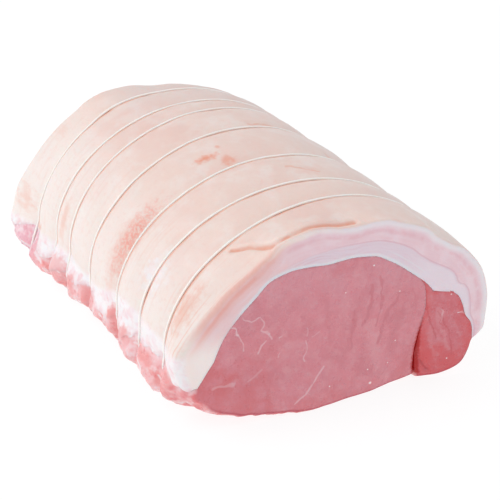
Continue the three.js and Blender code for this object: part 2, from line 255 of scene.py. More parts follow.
SKEW = [(-HALF_LENGTH, FAR_SKEW)]
for string_at, string_skew in zip(STRING_STATIONS, STRING_SKEWS):
    SKEW += [(string_at - SKEW_HELD, string_skew), (string_at + SKEW_HELD, string_skew)]
SKEW.append((HALF_LENGTH, NEAR_SKEW))


def across_and_up(degrees, radius):
    """Where an angle and a radius lie in a section."""
    y = radius * np.cos(np.radians(degrees))
    return y, np.maximum(0, WIDEST_HEIGHT + radius * np.sin(np.radians(degrees)))


def placed(station, y, z, lift):
    """Points in the frame. A lift moves them along the joint."""
    at, slant = np.array(SKEW).T
    bend_at, bend_size = np.array(FAR_CORNER_BEND).T
    bend = np.interp(station, bend_at, bend_size) * np.maximum(0, y - BEND_STARTS) ** 2
    x = station + np.interp(station, at, slant) * y - bend + lift
    return np.stack(np.broadcast_arrays(x, y, z), -1) + AXIS_PLACE


def left_lip(station):
    """The ragged lower edge of the fat on the left, in degrees."""
    ragged = rough_noise(station / RAGGED["length"], 0, 0, SEEDS["lip"])
    return curve(LEFT_LIP, station) + RAGGED["size"] * ragged


def line_distance(x, y, corners):
    """How far each place is from a line through the corners."""
    nearest = np.full(np.broadcast(x, y).shape, 1e3)
    for (x0, y0), (x1, y1) in zip(corners, corners[1:]):
        share = ((x - x0) * (x1 - x0) + (y - y0) * (y1 - y0)) / ((x1 - x0) ** 2 + (y1 - y0) ** 2)
        share = np.clip(share, 0, 1)
        nearest = np.minimum(nearest, np.hypot(x - x0 - share * (x1 - x0), y - y0 - share * (y1 - y0)))
    return nearest


# ---- Where the mesh has points


def spread(stops):
    """Numbers that run through (from, step) pairs to the last one's place."""
    parts = []
    for (start, step), (end, _) in zip(stops, stops[1:]):
        count = max(1, round((end - start) / step))
        parts.append(np.linspace(start, end, count, endpoint=False))
    return np.concatenate([*parts, [stops[-1][0]]])


STRING_ZONE = 3.2
STRING_ZONE_STEP = 0.45
OPEN_STEP = 1.1
EDGE_ZONE = 3.6
EDGE_STEP = 0.4
stops = [(-HALF_LENGTH, EDGE_STEP), (-HALF_LENGTH + EDGE_ZONE, OPEN_STEP)]
for string_at in STRING_STATIONS:
    stops += [(string_at - STRING_ZONE, STRING_ZONE_STEP), (string_at + STRING_ZONE, OPEN_STEP)]
STATIONS = spread(stops + [(HALF_LENGTH - EDGE_ZONE, EDGE_STEP), (HALF_LENGTH, EDGE_STEP)])


class Skin:
    """A mesh in the making: its points, what is known at each point, and its faces."""

    def __init__(self):
        self.points, self.facts, self.faces = [], {}, []
        self.count = 0

    def add(self, points, **facts):
        """Adds a grid of points and gives back the grid of their numbers."""
        shape = points.shape[:-1]
        size = int(np.prod(shape))
        self.points.append(points.reshape(-1, 3))
        for name in {**self.facts, **facts}:
            value = np.broadcast_to(facts.get(name, 0.0), shape).reshape(-1)
            self.facts.setdefault(name, [np.zeros(self.count)]).append(value)
        numbers = np.arange(self.count, self.count + size).reshape(shape)
        self.count += size
        return numbers

    def grid(self, numbers, turned=False):
        """Faces over a grid of point numbers."""
        a, b, c, d = numbers[:-1, :-1], numbers[1:, :-1], numbers[1:, 1:], numbers[:-1, 1:]
        quads = np.stack([a, b, c, d], -1).reshape(-1, 4)
        self.faces += (quads[:, ::-1] if turned else quads).tolist()

    def zipped(self, long, short, turned=False):
        """Triangles between a row of points and a row with fewer."""
        k = 0
        for i in range(len(long) - 1):
            faces = [(long[i], long[i + 1], short[k])]
            while k < round((i + 1) * (len(short) - 1) / (len(long) - 1)):
                faces.append((long[i + 1], short[k + 1], short[k]))
                k += 1
            self.faces += [[int(n) for n in (f[::-1] if turned else f)] for f in faces]

    def mesh(self, name):
        data = bpy.data.meshes.new(name)
        points = np.concatenate(self.points) * MM
        data.from_pydata(points.tolist(), [], self.faces)
        for fact, values in self.facts.items():
            attribute = data.attributes.new(fact, "FLOAT", "POINT")
            attribute.data.foreach_set("value", np.concatenate(values).astype(np.float32))
        data.shade_smooth()
        data.update()
        piece = bpy.data.objects.new(name, data)
        bpy.context.scene.collection.objects.link(piece)
        return piece


# ---- The cap of fat and rind

CAP_SHARES = spread([(0, 0.0006), (0.0012, 0.004), (0.02, 0.0045), (0.98, 0.004), (0.9988, 0.0006), (1, 1)])
INNER_EVERY = 3
FAT_LAYERS = 22
LIP_NOSE = {"length": 3.2, "outside": 0.25, "at_lobe": 1.9, "inside": 0.1}
LOBE_STARTS, LOBE_FULL_AT = 62, 76  # the lobe of fat at the near end of the left lip
RIGHT_TAPER = {"depth": 3, "over": 6.5}
GROOVE = {"deep": 0.2, "half_width": 0.8, "shoulder": 0.65, "shoulder_half_width": 2.8}
SHADE_PLACE, SHADE_HALF_WIDTH = 1.0, 1.8  # the painted shade, peach-coloured, on the near side of each string
RIND_UNEVEN = {"size": 0.35, "along": 20, "round": 15}
MM_PER_DEGREE = 1.1
RELIEF = {"size": 0.35, "length": 13, "fades_over": 4}
BELLY = [
    (-60, 0.5), (-37, 2.2), (-28, 2.4), (-21, 3.5), (-12, 4.2), (-4, 3.3), (5, 1.9), (15, 1.4),
    (27, -0.8), (37, -0.8), (41, 0.2), (47, 1.8), (54, 2.2), (62, 1),
]
BELLY_HEIGHT, BELLY_FADES_OVER = 34, 17
SIDE_CREASE = [(37.8, 13), (39.8, 8.4), (42.2, 3.6)]  # in the side muscle's near cut, as (across, height)
CREASE = {"deep": 1.1, "half_width": 0.9}

# Folds in the rind, as places (station, degrees) along each, with how deep and how wide it is
LONG_FOLD = [
    (64, 132), (66.5, 130.2), (70.2, 126), (75.2, 123), (78.6, 120), (79.6, 116), (80, 110), (79.6, 102),
    (79.4, 90), (79.2, 82),
]
FOLDS = [
    (LONG_FOLD, 0.75, 1.1),
    ([(27.9, 80.2), (34.2, 67.2)], 0.25, 1.2),
    ([(-19.9, 67.8), (-19.2, 53.2)], 0.3, 1.2),
    ([(10.1, 44.5), (19.2, 42.8)], 0.25, 1.2),
]
FOLD_RIM = {"apart": 2.2, "height": 0.5}  # in half widths from the fold, and as a share of its depth

# Where the line between outer and inner fat runs at a cut, as a share of the way in from the rind
LAYER_LINE = [
    (-13, 0.8), (-5, 0.75), (1.5, 0.68), (10, 0.57), (20, 0.46), (30, 0.54), (56, 0.52), (72, 0.55),
    (87, 0.53), (103, 0.64), (120, 0.77), (136, 0.77), (150, 0.74), (162, 0.84), (180, 0.9),
]
RIND_EDGE = [  # the rind's lower edge on the left
    (-82, 186), (-74, 184.2), (-56, 183.8), (-45, 182.5), (-31, 181.2), (-16, 181.8), (0, 179), (16, 174.8),
    (30, 173.5), (41, 174.8), (50, 174.8), (62, 176.2), (82, 174.8),
]


def lip_angle(station, share):
    return curve(RIGHT_LIP, station) * (1 - share) + left_lip(station) * share


def lobe(station):
    return smooth((station - LOBE_STARTS) / (LOBE_FULL_AT - LOBE_STARTS))


def groove_depth(station):
    apart = to_string(station)
    tight = GROOVE["deep"] * np.exp(-((apart / GROOVE["half_width"]) ** 4))
    return tight + GROOVE["shoulder"] * np.exp(-((apart / GROOVE["shoulder_half_width"]) ** 2))


def fold_distance(station, degrees, corners):
    round_at = [(x, angle * MM_PER_DEGREE) for x, angle in corners]
    return line_distance(station, degrees * MM_PER_DEGREE, round_at)


def rind_radius(station, degrees):
    uneven = rough_noise(station / RIND_UNEVEN["along"], degrees / RIND_UNEVEN["round"], 0, SEEDS["rind"])
    radius = flattened(degrees, outline(station, degrees)) - groove_depth(station)
    for corners, depth, width in FOLDS:
        apart = fold_distance(station, degrees, corners)
        to_rim = (apart - FOLD_RIM["apart"] * width) / width
        rim = FOLD_RIM["height"] * np.exp(-(to_rim**2))
        radius = radius - depth * (np.exp(-((apart / width) ** 2)) - rim)
    return radius + RIND_UNEVEN["size"] * uneven


def at_cut(station):
    return (np.abs(station) > HALF_LENGTH - 0.01) * 1.0


def cut_relief(station, y, z):
    """How far the two cut faces stand proud of flat, faded out along the joint behind them."""
    near, far = near_cut(station, RELIEF["fades_over"]), far_cut(station, RELIEF["fades_over"])
    length = RELIEF["length"]
    uneven = RELIEF["size"] * rough_noise(y / length, z / length, np.sign(station), SEEDS["cuts"])
    belly = near_cut(station, BELLY_FADES_OVER) * (1 - smooth(z / BELLY_HEIGHT))
    to_crease = line_distance(y, z, SIDE_CREASE) / CREASE["half_width"]
    crease = near * CREASE["deep"] * np.exp(-(to_crease**2))
    return (near + far) * uneven + belly * curve(BELLY, y) - crease


def cap_section(station, share, depth):
    """Places in the cap at a share of the way round and of the way in, and how deep they lie."""
    degrees = lip_angle(station, share)
    span = lip_angle(station, 1) - lip_angle(station, 0)
    to_lip = np.minimum(share, 1 - share) * span * MM_PER_DEGREE
    t = np.clip(1 - to_lip / LIP_NOSE["length"], 0, 1)
    outer = rind_radius(station, degrees)
    inner = inner_radius(station, degrees)
    closing = 1 - np.sqrt(1 - t * t)
    to_right = share * span * MM_PER_DEGREE
    taper = RIGHT_TAPER["depth"] * (1 - smooth(to_right / RIGHT_TAPER["over"]))
    nose = LIP_NOSE["outside"] + LIP_NOSE["at_lobe"] * lobe(station)
    start, end = outer - taper - nose * closing, inner + LIP_NOSE["inside"] * closing
    radius = start * (1 - depth) + end * depth
    return degrees, radius, outer - radius, radius - inner


def with_relief(station, y, z):
    """Points in the frame with the relief of the cut faces."""
    return placed(station, y, z, cut_relief(station, y, z))


def make_cap():
    skin = Skin()
    station = STATIONS[:, None]

    def surface(stations, shares, depths, on_cut=0.0):
        degrees, radius, deep, to_muscle = cap_section(stations, shares, depths)
        return skin.add(
            with_relief(stations, *across_and_up(degrees, radius)), deep=deep, to_muscle=to_muscle,
            past_line=deep - curve(LAYER_LINE, degrees) * (deep + to_muscle),
            cut=np.maximum(on_cut, at_cut(stations)),
            # painted shade beside each string, as a share
            string_shade=1 - smooth(np.abs(to_string(stations) - SHADE_PLACE) / SHADE_HALF_WIDTH),
            station=stations, degrees=degrees,
            below_rind=(degrees - curve(RIND_EDGE, stations)) * MM_PER_DEGREE,
            to_lip=(lip_angle(stations, 1) - degrees) * MM_PER_DEGREE,
            to_fold=fold_distance(stations, degrees, LONG_FOLD),
        )

    outer = surface(station, CAP_SHARES[None, :], 0.0)
    inner_shares = np.append(CAP_SHARES[:-1:INNER_EVERY], 1.0)[None, :]
    inner = surface(station, inner_shares, 1.0, 1.0)
    between = np.arange(1, FAT_LAYERS)[None, :] / FAT_LAYERS
    lips = []
    for k, share in ((0, 0.0), (-1, 1.0)):
        middle = surface(station, share, between, 1.0)
        lips.append(np.concatenate([outer[:, k, None], middle, inner[:, k, None]], 1))
    skin.grid(outer, turned=True)
    skin.grid(inner)
    skin.grid(lips[0])
    skin.grid(lips[1], turned=True)
    for end, turned in ((-1, False), (0, True)):
        middle = surface(STATIONS[end], CAP_SHARES[1:-1, None], between, 1.0)
        rows = np.column_stack([outer[end][1:-1], middle])
        face = np.concatenate([lips[0][end][None, :-1], rows, lips[1][end][None, :-1]])
        skin.grid(face, turned)
        skin.zipped(face[:, -1], inner[end], turned)
    return skin.mesh("fat_and_rind")


# ---- The two muscles

LUMPS = {"size": 1.8, "along": 6.5, "round": 6, "standing_out": -0.65, "from_lip": 2.6}
LUMPS_START, LUMPS_END = {"at": 183, "over": 8}, {"at": 246, "over": 22}
LIP_STEP = {"left": 0.3, "at_lobe": 2.0, "right": 4.0}  # how far in the meat starts at a lip
STEP_LENGTH = {"left": 4, "right": 12}
LIP_CLOSED = 0.3  # degrees that the meat runs in under a lip, up to its gap at a cut
LIP_GAP = 0.15
LIP_GAP_LENGTH, LIP_CLOSES_OVER = 1, 3
CLOSE = 0.06  # how far the muscles press into the fat, so that no crack shows
SEAM_SHARES = spread([(0.05, 0.024), (0.93, 1)])
EYE_FLANK_SHARES = spread([(0, 0.0012), (0.0024, 0.006), (0.4, 0.02), (1, 1)])
EYE_POINTS, SIDE_POINTS = 70, 60  # how many points a ring has under the fat
CUT_STEP = 0.95
ROW_SHARE, CLEAR_SHARE = 0.87, 0.6  # of a step: from row to row, and from the edge to the first points


def lip_gap(station):
    to_closed = HALF_LENGTH - np.abs(station) - LIP_GAP_LENGTH
    return LIP_GAP - (LIP_GAP + LIP_CLOSED) * smooth(to_closed / LIP_CLOSES_OVER)


def seam_top(station):
    return across_and_up(SEAM_TOP, inner_radius(station, SEAM_TOP))


def seam_wall(station, share, side):
    """A wall of the seam at a share of its height: side 0 is the eye's and side 1 the side muscle's."""
    to_cut = HALF_LENGTH - np.abs(station)
    closing = SEAM_INSIDE + (1 - SEAM_INSIDE) * (1 - smooth(to_cut / SEAM_CLOSES_OVER))
    top_across, top_height = seam_top(station)
    near_across, near_height = seam_top(HALF_LENGTH)
    at_foot = curve(RIGHT_REACH, station) - curve(RIGHT_REACH, HALF_LENGTH)
    shift = at_foot * (1 - share) + (top_across - near_across) * share
    height = share * near_height
    edge = corner_drop(to_cut, SEAM_EDGE_ROUND[side]) * smooth((SEAM_EDGE_TOP - height) / SEAM_EDGE_FADE)
    across = curve(EYE_SIDE_OF_SEAM, height) + side * curve(SEAM_OPENING, height) * closing
    return across + shift - edge * (1 - 2 * side), share * top_height


def seam_shows(height):
    """How open the seam is at a height. Over the opening the two muscles lie close together."""
    return 1 - smooth((height - SEAM_SHUTS[0]) / (SEAM_SHUTS[1] - SEAM_SHUTS[0]))


def seam_foot(station, side):
    return np.degrees(np.arctan2(-WIDEST_HEIGHT, seam_wall(station, 0.0, side)[0]))


def flank_radius(station, degrees, to_lip, side):
    """The bare meat, which swells out from under the fat's lip and bulges in lumps between the strings."""
    full = flattened(degrees, outline(station, degrees) - groove_depth(station))
    lumps = rough_noise(station / LUMPS["along"], degrees / LUMPS["round"], 0, SEEDS["lumps"])
    bare = smooth((degrees - LUMPS_START["at"]) / LUMPS_START["over"])
    bare = bare * smooth((LUMPS_END["at"] - degrees) / LUMPS_END["over"])
    step = LIP_STEP[side] + (LIP_STEP["at_lobe"] * lobe(station) if side == "left" else 0)
    bare = bare * smooth(to_lip / LUMPS["from_lip"])
    lumps = lumps + LUMPS["standing_out"]
    return full + bare * LUMPS["size"] * lumps - step * (1 - smooth(to_lip / STEP_LENGTH[side]))


def inside_ring(y, z, ring):
    """Whether each place lies inside a closed ring."""
    (y0, z0), (y1, z1) = ring.T, np.roll(ring, -1, 0).T
    spans = (z0 > z[:, None]) != (z1 > z[:, None])
    at = y0 + (z[:, None] - z0) * (y1 - y0) / np.where(z1 == z0, 1, z1 - z0)
    return (spans & (y[:, None] < at)).sum(1) % 2 == 1


def fill_cut(skin, ring, edge, station, turned):
    """Covers the cut inside a ring of points with small even triangles."""
    low, high = edge.min(0), edge.max(0)
    row = np.arange(low[1], high[1], CUT_STEP * ROW_SHARE)
    column = np.arange(low[0], high[0], CUT_STEP)
    z = np.repeat(row, len(column))
    y = np.tile(column, len(row)) + np.repeat(np.arange(len(row)) % 2, len(column)) * CUT_STEP / 2
    keep = inside_ring(y, z, edge)
    y, z = y[keep], z[keep]
    to_edge = np.hypot(y[:, None] - edge[:, 0], z[:, None] - edge[:, 1]).min(1)
    keep = to_edge > CUT_STEP * CLEAR_SHARE
    y, z, to_edge = y[keep], z[keep], to_edge[keep]
    inside = skin.add(with_relief(station, y, z), cut=1.0, station=station, to_edge=to_edge)
    spots = [Vector(spot) for spot in np.concatenate([edge, np.stack([y, z], -1)]).tolist()]
    around = [(i, (i + 1) % len(edge)) for i in range(len(edge))]
    _, _, faces, starts, _, _ = delaunay_2d_cdt(spots, around, [], 1, 1e-5)
    number = np.concatenate([ring, inside])
    faces = [[int(number[starts[i][0]]) for i in face] for face in faces]
    skin.faces += [face[::-1] for face in faces] if turned else faces


def under_fat(station, start, end, count):
    """The part of a muscle's rings that lies against the fat."""
    degrees = start + (end - start) * np.linspace(0, 1, count)[None, :]
    return *across_and_up(degrees, inner_radius(station, degrees) + CLOSE), {"degrees": degrees}


def bare_flank(station, start, end, shares, lip, side):
    """The part of a muscle's rings that is bare, from a lip round to the seam or back."""
    degrees = start + (end - start) * shares[None, :]
    to_lip = np.abs(degrees - lip) * MM_PER_DEGREE
    radius = flank_radius(station, degrees, to_lip, side)
    return *across_and_up(degrees, radius), {"degrees": degrees, "to_lip": to_lip}


def seam_face(station, shares, side):
    y, z = seam_wall(station, shares[None, :], side)
    return y, z, {"seam": seam_shows(z)}


def make_muscle(name, ring_parts):
    """A muscle from rings at every station, with its two cut faces filled."""
    skin = Skin()
    station = STATIONS[:, None]
    rings, edges = [], []
    for y, z, facts in ring_parts:
        points = with_relief(station, y, z)
        rings.append(skin.add(points, station=station, cut=at_cut(station), **facts))
        edges.append(np.stack(np.broadcast_arrays(y, z), -1))
    ring, edge = np.concatenate(rings, 1), np.concatenate(edges, 1)
    skin.grid(np.column_stack([ring, ring[:, 0]]), turned=True)
    fill_cut(skin, ring[-1], edge[-1], STATIONS[-1], turned=False)
    fill_cut(skin, ring[0], edge[0], STATIONS[0], turned=True)
    return skin.mesh(name)


def make_eye():
    station = STATIONS[:, None]
    lip = left_lip(station) + lip_gap(station)
    foot = 360 + seam_foot(station, 0)
    against_fat = under_fat(station, SEAM_TOP, lip, EYE_POINTS)
    flank = bare_flank(station, lip, foot, EYE_FLANK_SHARES, lip, "left")
    return make_muscle("loin_muscle", [against_fat, flank, seam_face(station, SEAM_SHARES, 0)])


def make_side():
    station = STATIONS[:, None]
    lip = curve(RIGHT_LIP, station) - lip_gap(station)
    against_fat = under_fat(station, lip, SEAM_TOP, SIDE_POINTS)
    shares = np.linspace(0, 1, SIDE_POINTS)
    flank = bare_flank(station, seam_foot(station, 1), lip, shares, lip, "right")
    return make_muscle("side_meat", [against_fat, seam_face(station, SEAM_SHARES[::-1], 1), flank])


# ---- The strings

STRING_POINTS = 900
STRING_SIDES = 12
STRANDS = 3
STRAND_RELIEF = 0.14
TWIST_LENGTH = 4.2
SINK = {"over": 0.55, "flank": 1.9, "flank_uneven": 0.7, "under": 1.2}
SINK_WAVE, STRINGS_APART = 5, 3  # in degrees, and from string to string in the noise
STRING_FLANK_STARTS, STRING_FLANK_OVER = 184, 6
STRING_WANDER = {"size": 0.22, "waves": 4}


def make_string(number):
    degrees = np.linspace(-90, 270, STRING_POINTS, endpoint=False)
    station = np.full(STRING_POINTS, STRING_STATIONS[number])
    flank = smooth((degrees - STRING_FLANK_STARTS) / STRING_FLANK_OVER)
    deeper = rough_noise(degrees / SINK_WAVE, number * STRINGS_APART, 0, SEEDS["sink"])
    deeper = SINK["flank_uneven"] * deeper
    sink = SINK["over"] + (SINK["flank"] - SINK["over"] + deeper) * flank
    sink = sink + (SINK["under"] - sink) * underside(degrees)
    radius = flattened(degrees, outline(station, degrees)) - sink
    y, z = across_and_up(degrees, radius)
    turn, waves = np.radians(degrees), STRING_WANDER["waves"]
    wander = rough_noise(np.cos(turn) * waves, np.sin(turn) * waves, number, SEEDS["wander"])
    path = placed(station, y, z, STRING_WANDER["size"] * wander)
    onward = np.roll(path, -1, 0) - np.roll(path, 1, 0)
    run = np.concatenate([[0], np.cumsum(np.linalg.norm(np.diff(path, axis=0), axis=1))])
    total = run[-1] + np.linalg.norm(path[0] - path[-1])
    onward /= np.linalg.norm(onward, axis=1)[:, None]
    outward = np.cross(onward, [1.0, 0, 0])
    outward /= np.linalg.norm(outward, axis=1)[:, None]
    sideways = np.cross(outward, onward)
    turns = np.round(total / TWIST_LENGTH)
    around = np.linspace(0, 2 * np.pi, STRING_SIDES, endpoint=False)[None, :]
    phase = 2 * np.pi * turns * run[:, None] / total
    strand = np.abs(np.cos(STRANDS / 2 * (around - phase)))
    thick = STRING_RADIUS * (1 - STRAND_RELIEF * (1 - strand))
    ring = path[:, None] + thick[..., None] * (
        np.cos(around)[..., None] * outward[:, None] + np.sin(around)[..., None] * sideways[:, None]
    )
    skin = Skin()
    numbers = skin.add(ring, strand=strand)
    looped = np.concatenate([numbers, numbers[:1]])
    skin.grid(np.column_stack([looped, looped[:, 0]]))
    return skin.mesh(f"twine_{number + 1}")


# ---- Finishes

FLOAT, VECTOR = "NodeSocketFloat", "NodeSocketVector"
THROUGH = 99  # the reach of a patch in the direction that it goes right through


def tint(red, green, blue):
    """A colour from its screen values, 0 to 255."""
    return tuple(((c / 255 + 0.055) / 1.055) ** 2.4 for c in (red, green, blue))


class Finish:
    """Adds nodes to a material or a group and joins them. A value is a socket, a number or a colour."""

    def __init__(self, tree, shared=None):
        self.tree = tree
        self.shared = shared

    def put(self, value, socket):
        if isinstance(value, bpy.types.NodeSocket):
            self.tree.links.new(value, socket)
        elif value is not None:
            socket.default_value = (*value, 1.0) if len(np.shape(value)) and socket.type == "RGBA" else value

    def add(self, kind, *values, **settings):
        node = self.tree.nodes.new(kind)
        for name, value in settings.items():
            setattr(node, name, value)
        for socket, value in zip(node.inputs, values):
            self.put(value, socket)
        return node

    def group(self, group, **values):
        """A shared group's node, with its sockets set by name."""
        node = self.add("ShaderNodeGroup", node_tree=group)
        for name, value in values.items():
            self.put(value, node.inputs[name.replace("_", " ").title()])
        return node.outputs[0]

    def math(self, operation, *values):
        return self.add("ShaderNodeMath", *values, operation=operation).outputs[0]

    def vector(self, operation, *values, output=0):
        return self.add("ShaderNodeVectorMath", *values, operation=operation).outputs[output]

    def scaled(self, direction, size):
        node = self.add("ShaderNodeVectorMath", direction, operation="SCALE")
        self.put(size, node.inputs["Scale"])
        return node.outputs[0]

    def joined(self, x, y, z=0.0):
        return self.add("ShaderNodeCombineXYZ", x, y, z).outputs[0]

    def fact(self, name):
        return self.add("ShaderNodeAttribute", attribute_name=name).outputs["Fac"]

    def band(self, value, start, end, low=0.0, high=1.0):
        """Low up to start, high from end on, and smooth between."""
        node = self.add("ShaderNodeMapRange", value, start, end, low, high, interpolation_type="SMOOTHSTEP")
        return node.outputs[0]

    def ridge(self, value, middle, half_width):
        """1 at the middle value and 0 at a half width to either side."""
        apart = self.math("ABSOLUTE", self.math("SUBTRACT", value, middle))
        return self.band(apart, 0.0, half_width, 1.0, 0.0)

    def times(self, *values):
        total = values[0]
        for value in values[1:]:
            total = self.math("MULTIPLY", total, value)
        return total

    def noise(self, place, scale, detail=2.0, roughness=0.5, distortion=0.0):
        node = self.add("ShaderNodeTexNoise", place, noise_dimensions="3D")
        values = {"Scale": scale, "Detail": detail, "Roughness": roughness, "Distortion": distortion}
        for name, value in values.items():
            self.put(value, node.inputs[name])
        return node.outputs["Fac"]

    def mix(self, share, first, second):
        node = self.add("ShaderNodeMix", data_type="RGBA", blend_type="MIX")
        for name, value in (("Factor", share), ("A", first), ("B", second)):
            socket = [i for i in node.inputs if i.name == name and i.enabled][0]
            self.put(value, socket)
        return [o for o in node.outputs if o.enabled][0]

    def laid_over(self, colour, *layers):
        """A colour with layers over it, each a colour and the shares that say how much of it there is."""
        for layer, *shares in layers:
            colour = self.mix(self.times(*shares), colour, layer)
        return colour

    def spot(self):
        """The place on the joint in millimetres."""
        place = self.add("ShaderNodeTexCoord").outputs["Object"]
        scale = (1 / MM, 1 / MM, 1 / MM)
        return self.add("ShaderNodeMapping", place, tuple(-AXIS_PLACE), (0, 0, 0), scale).outputs[0]

    def unrolled(self):
        """The place on the unrolled outside in millimetres."""
        return self.joined(self.fact("station"), self.times(self.fact("degrees"), MM_PER_DEGREE))

    def uneven(self, place, scale, low, high, detail=3.0):
        """Soft areas at a place, from the shared mottle."""
        return self.group(self.shared["mottle"], place=place, scale=scale, detail=detail, low=low, high=high)

    def patch(self, place, middle, reach, **looks):
        return self.group(self.shared["soft_patch"], place=place, middle=middle, reach=reach, **looks)

    def skin_patch(self, place, middle, reach, **looks):
        """A patch on the unrolled outside, its middle and its reach as (along, round in degrees)."""
        reach = (reach[0], reach[1] * MM_PER_DEGREE, THROUGH)
        return self.patch(place, *round_places([middle]), reach, **looks)

    def line(self, place, corners, half_width, sway):
        """A line through corners, which sways in the plane that it lies in."""
        total = None
        for start, end in zip(corners, corners[1:]):
            part = self.group(
                self.shared["thin_line"], place=place, start=start, end=end, half_width=half_width, sway=sway
            )
            total = part if total is None else self.math("MAXIMUM", total, part)
        return total


def new_group(name, **sockets):
    """A shared group with named inputs and one output, and a Finish to fill it with."""
    tree = bpy.data.node_groups.new(name, "ShaderNodeTree")
    for socket, value in sockets.items():
        kind = VECTOR if len(np.shape(value)) else FLOAT
        title = socket.replace("_", " ").title()
        tree.interface.new_socket(title, in_out="INPUT", socket_type=kind).default_value = value
    tree.interface.new_socket("Mask", in_out="OUTPUT", socket_type=FLOAT)
    finish = Finish(tree)
    return tree, finish, finish.add("NodeGroupInput").outputs, finish.add("NodeGroupOutput").inputs[0]


def make_mottle():
    """Soft uneven areas: 1 where the noise is above High, and 0 where it is below Low."""
    tree, finish, given, out = new_group(
        "mottle", place=(0, 0, 0), scale=0.1, detail=2.0, roughness=0.5, low=0.4, high=0.7
    )
    noise = finish.noise(given["Place"], given["Scale"], given["Detail"], given["Roughness"])
    finish.put(finish.band(noise, given["Low"], given["High"]), out)
    return tree


def make_thin_line():
    """A wavering line between two places, a sinew or a crease, that is thin in places."""
    tree, finish, given, out = new_group(
        "thin_line", place=(0, 0, 0), start=(0, 0, 0), end=(1, 1, 1), half_width=0.3, sway=(0, 2, 2)
    )
    wave = finish.math("SUBTRACT", finish.noise(given["Place"], 0.17, 1.0), 0.5)
    place = finish.vector("ADD", given["Place"], finish.scaled(given["Sway"], wave))
    along = finish.vector("SUBTRACT", given["End"], given["Start"])
    from_start = finish.vector("SUBTRACT", place, given["Start"])
    reach = finish.vector("DOT_PRODUCT", along, along, output=1)
    share = finish.math("DIVIDE", finish.vector("DOT_PRODUCT", from_start, along, output=1), reach)
    nearest = finish.scaled(along, finish.add("ShaderNodeClamp", share).outputs[0])
    apart = finish.vector("DISTANCE", from_start, nearest, output=1)
    thinner = finish.band(finish.noise(given["Place"], 0.25, 1.0), 0.36, 0.6, 0.55, 1.35)
    width = finish.times(given["Half Width"], thinner)
    finish.put(finish.band(finish.math("DIVIDE", apart, width), 0.25, 1.0, 1.0, 0.0), out)
    return tree


def make_soft_patch():
    """A ragged oval patch about a middle, whole out to a share of its reach and then fading."""
    tree, finish, given, out = new_group(
        "soft_patch", place=(0, 0, 0), middle=(0, 0, 0), reach=(1, 1, 1), ragged=0.5, grain=0.25, core=0.45
    )
    from_middle = finish.vector("SUBTRACT", given["Place"], given["Middle"])
    apart = finish.vector("LENGTH", finish.vector("DIVIDE", from_middle, given["Reach"]), output=1)
    uneven = finish.math("SUBTRACT", finish.noise(given["Place"], given["Grain"], 3.0, 0.6), 0.5)
    apart = finish.math("ADD", apart, finish.times(uneven, given["Ragged"], 3.0))
    finish.put(finish.band(apart, given["Core"], 1.05, 1.0, 0.0), out)
    return tree


def new_finish(name, shared=None):
    material = bpy.data.materials.new(name)
    material.use_nodes = True
    tree = material.node_tree
    tree.nodes.clear()
    finish = Finish(tree, shared)
    shader = finish.add("ShaderNodeBsdfPrincipled")
    out = finish.add("ShaderNodeOutputMaterial")
    tree.links.new(shader.outputs[0], out.inputs["Surface"])
    return material, finish, shader


def dress(finish, shader, colour, rough, weight, reach, depth):
    """Sets a colour, a roughness, and how far light spreads under the surface in red, green and blue."""
    finish.put(colour, shader.inputs["Base Color"])
    finish.put(rough, shader.inputs["Roughness"])
    shader.inputs["Subsurface Weight"].default_value = weight
    shader.inputs["Subsurface Radius"].default_value = reach
    shader.inputs["Subsurface Scale"].default_value = depth * MM


def bump(finish, shader, height, distance, strength):
    node = finish.add("ShaderNodeBump", strength, distance * MM)
    finish.put(height, node.inputs["Height"])
    finish.tree.links.new(node.outputs[0], shader.inputs["Normal"])


def round_places(corners):
    """Places (station, degrees) as places in millimetres on the unrolled outside."""
    return [(station, degrees * MM_PER_DEGREE, 0) for station, degrees in corners]


# ---- The rind and the fat

CREAM, CREAM_PINK, CREAM_PALE = tint(240, 214, 204), tint(238, 203, 193), tint(244, 233, 228)
# The peach on the next line is the rind's own tone in its streaks and patches, and also the colour of the
# painted shade beside each string.
CREAM_GREY, PEACH_TONE_AND_STRING_SHADE, RAW_ORANGE = tint(227, 210, 205), tint(234, 168, 144), tint(234, 158, 130)
# The bluish white at the end of the next line is a painted highlight on the rind.
BLOOD, WRINKLED_PINK, BLUISH_HIGHLIGHT = tint(238, 150, 120), tint(242, 170, 156), tint(244, 241, 245)
EDGE_FAT, EDGE_FAT_PINK, EDGE_FAT_MARK = tint(248, 241, 243), tint(246, 226, 230), tint(238, 190, 196)
FAT_PINK, FAT_CLOUD, FAT_INNER = tint(236, 202, 210), tint(240, 216, 223), tint(230, 211, 221)
FAT_RIGHT, FAT_LINE, FAT_MARK = tint(236, 222, 230), tint(222, 180, 192), tint(226, 168, 178)
FAT_EDGE, SILVER_SKIN, LEFT_FAT = tint(237, 231, 235), tint(230, 225, 231), tint(237, 202, 203)
SALMON_BAND, LOBE_WHITE, FLANK_SALMON = tint(236, 166, 154), tint(255, 240, 236), tint(238, 156, 155)

